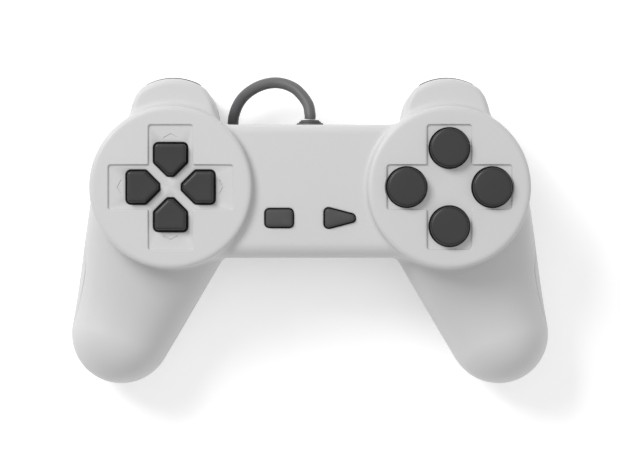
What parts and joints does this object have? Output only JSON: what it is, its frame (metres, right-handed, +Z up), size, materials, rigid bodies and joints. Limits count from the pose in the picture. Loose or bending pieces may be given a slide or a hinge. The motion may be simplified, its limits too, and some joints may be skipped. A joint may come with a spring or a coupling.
{
  "type": "game controller",
  "caption": "Wired two-handed game controller with a tilting direction pad, round face buttons, menu keys, sliding shoulder triggers and a tied cord with a plug.",
  "frame": {"origin": "middle of the controller's plan, on the plane it rests on", "axes": "+X to the player's right along the length, +Y away from the player towards the triggers and the cord, +Z up out of the face buttons"},
  "size_m": [0.1498, 0.0962, 0.0472],
  "materials": {
    "shell": "fine moulded grain, light grey",
    "key": "fine grain, satin, dark grey",
    "trigger": "fine grain, satin, dark grey",
    "menu_rubber": "matt moulded rubber",
    "mat_rubber": "matt silicone",
    "circuit_board": "phenolic board, satin",
    "inner_plastic": "moulded, matt",
    "ribbon": "satin film",
    "screw_steel": "zinc-plated",
    "cord_jacket": "soft vinyl, satin",
    "moulded_rubber": "moulded soft vinyl, matt",
    "tie_band": "matt band",
    "plug_metal": "bright nickel plate",
    "pale_plastic": "satin nylon",
    "epoxy": "poured epoxy blob",
    "capacitor_sleeve": "shrink sleeve",
    "ceramic": "dipped ceramic"
  },
  "bodies": {
    "housing": {"action_mat": "mat_rubber", "clock_resonator": "ceramic", "controller_chip": "epoxy", "cord_hank": "cord_jacket", "cord_header": "pale_plastic", "cord_lead": "cord_jacket", "cord_tail": "cord_jacket", "cord_tie": "tie_band", "dpad_mat": "mat_rubber", "filter_capacitor": "capacitor_sleeve", "front_shell": "shell", "inner_lead": "cord_jacket", "left_ribbon": "ribbon", "left_shoulder_board": "circuit_board", "left_shoulder_bracket": "inner_plastic", "left_shoulder_mat": "mat_rubber", "main_board": "circuit_board", "menu_mat": "mat_rubber", "plug_body": "moulded_rubber", "plug_shell": "plug_metal", "plug_tongue": "pale_plastic", "rear_shell": "shell", "right_ribbon": "ribbon", "right_shoulder_board": "circuit_board", "right_shoulder_bracket": "inner_plastic", "right_shoulder_mat": "mat_rubber", "screw_centre": "screw_steel", "screw_left_back": "screw_steel", "screw_left_grip": "screw_steel", "screw_right_back": "screw_steel", "screw_right_grip": "screw_steel", "strain_relief": "moulded_rubber"},
    "dpad_pivot": {"dpad_pivot": "inner_plastic"},
    "dpad": {"dpad": "key"},
    "button_east": {"button_east": "key"},
    "button_north": {"button_north": "key"},
    "button_south": {"button_south": "key"},
    "button_west": {"button_west": "key"},
    "left_lower_trigger": {"left_lower_trigger": "trigger"},
    "left_upper_trigger": {"left_upper_trigger": "trigger"},
    "right_lower_trigger": {"right_lower_trigger": "trigger"},
    "right_upper_trigger": {"right_upper_trigger": "trigger"},
    "select_key": {"select_key": "menu_rubber"},
    "start_key": {"start_key": "menu_rubber"}
  },
  "joints": [
    {"name": "dpad_tilt_left_right", "type": "hinge", "parent": "housing", "child": "dpad_pivot", "pos_m": [-0.0424, 0.0138, 0.0375], "axis": [0, 1, 0], "range_deg": [-3.5, 3.5], "stiffness_Nm_per_rad": 0.05, "deforming": ["dpad_mat"]},
    {"name": "dpad_tilt_up_down", "type": "hinge", "parent": "dpad_pivot", "child": "dpad", "pos_m": [-0.0424, 0.0138, 0.0375], "axis": [1, 0, 0], "range_deg": [-3.5, 3.5], "stiffness_Nm_per_rad": 0.05, "deforming": ["dpad_mat"]},
    {"name": "button_north_press", "type": "slide", "parent": "housing", "child": "button_north", "axis": [0, 0, -1], "range_m": [0, 0.0012], "stiffness_N_per_m": 300, "springref_m": -0.001, "deforming": ["action_mat"]},
    {"name": "button_east_press", "type": "slide", "parent": "housing", "child": "button_east", "axis": [0, 0, -1], "range_m": [0, 0.0012], "stiffness_N_per_m": 300, "springref_m": -0.001, "deforming": ["action_mat"]},
    {"name": "button_south_press", "type": "slide", "parent": "housing", "child": "button_south", "axis": [0, 0, -1], "range_m": [0, 0.0012], "stiffness_N_per_m": 300, "springref_m": -0.001, "deforming": ["action_mat"]},
    {"name": "button_west_press", "type": "slide", "parent": "housing", "child": "button_west", "axis": [0, 0, -1], "range_m": [0, 0.0012], "stiffness_N_per_m": 300, "springref_m": -0.001, "deforming": ["action_mat"]},
    {"name": "select_key_press", "type": "slide", "parent": "housing", "child": "select_key", "axis": [0, 0, -1], "range_m": [0, 0.0008], "stiffness_N_per_m": 300, "springref_m": -0.001, "deforming": ["menu_mat"]},
    {"name": "start_key_press", "type": "slide", "parent": "housing", "child": "start_key", "axis": [0, 0, -1], "range_m": [0, 0.0008], "stiffness_N_per_m": 300, "springref_m": -0.001, "deforming": ["menu_mat"]},
    {"name": "left_upper_trigger_press", "type": "slide", "parent": "housing", "child": "left_upper_trigger", "axis": [0, -1, 0], "range_m": [0, 0.0015], "stiffness_N_per_m": 300, "springref_m": -0.001, "deforming": ["left_shoulder_mat"]},
    {"name": "left_lower_trigger_press", "type": "slide", "parent": "housing", "child": "left_lower_trigger", "axis": [0, -1, 0], "range_m": [0, 0.0015], "stiffness_N_per_m": 300, "springref_m": -0.001, "deforming": ["left_shoulder_mat"]},
    {"name": "right_upper_trigger_press", "type": "slide", "parent": "housing", "child": "right_upper_trigger", "axis": [0, -1, 0], "range_m": [0, 0.0015], "stiffness_N_per_m": 300, "springref_m": -0.001, "deforming": ["right_shoulder_mat"]},
    {"name": "right_lower_trigger_press", "type": "slide", "parent": "housing", "child": "right_lower_trigger", "axis": [0, -1, 0], "range_m": [0, 0.0015], "stiffness_N_per_m": 300, "springref_m": -0.001, "deforming": ["right_shoulder_mat"]}
  ]
}
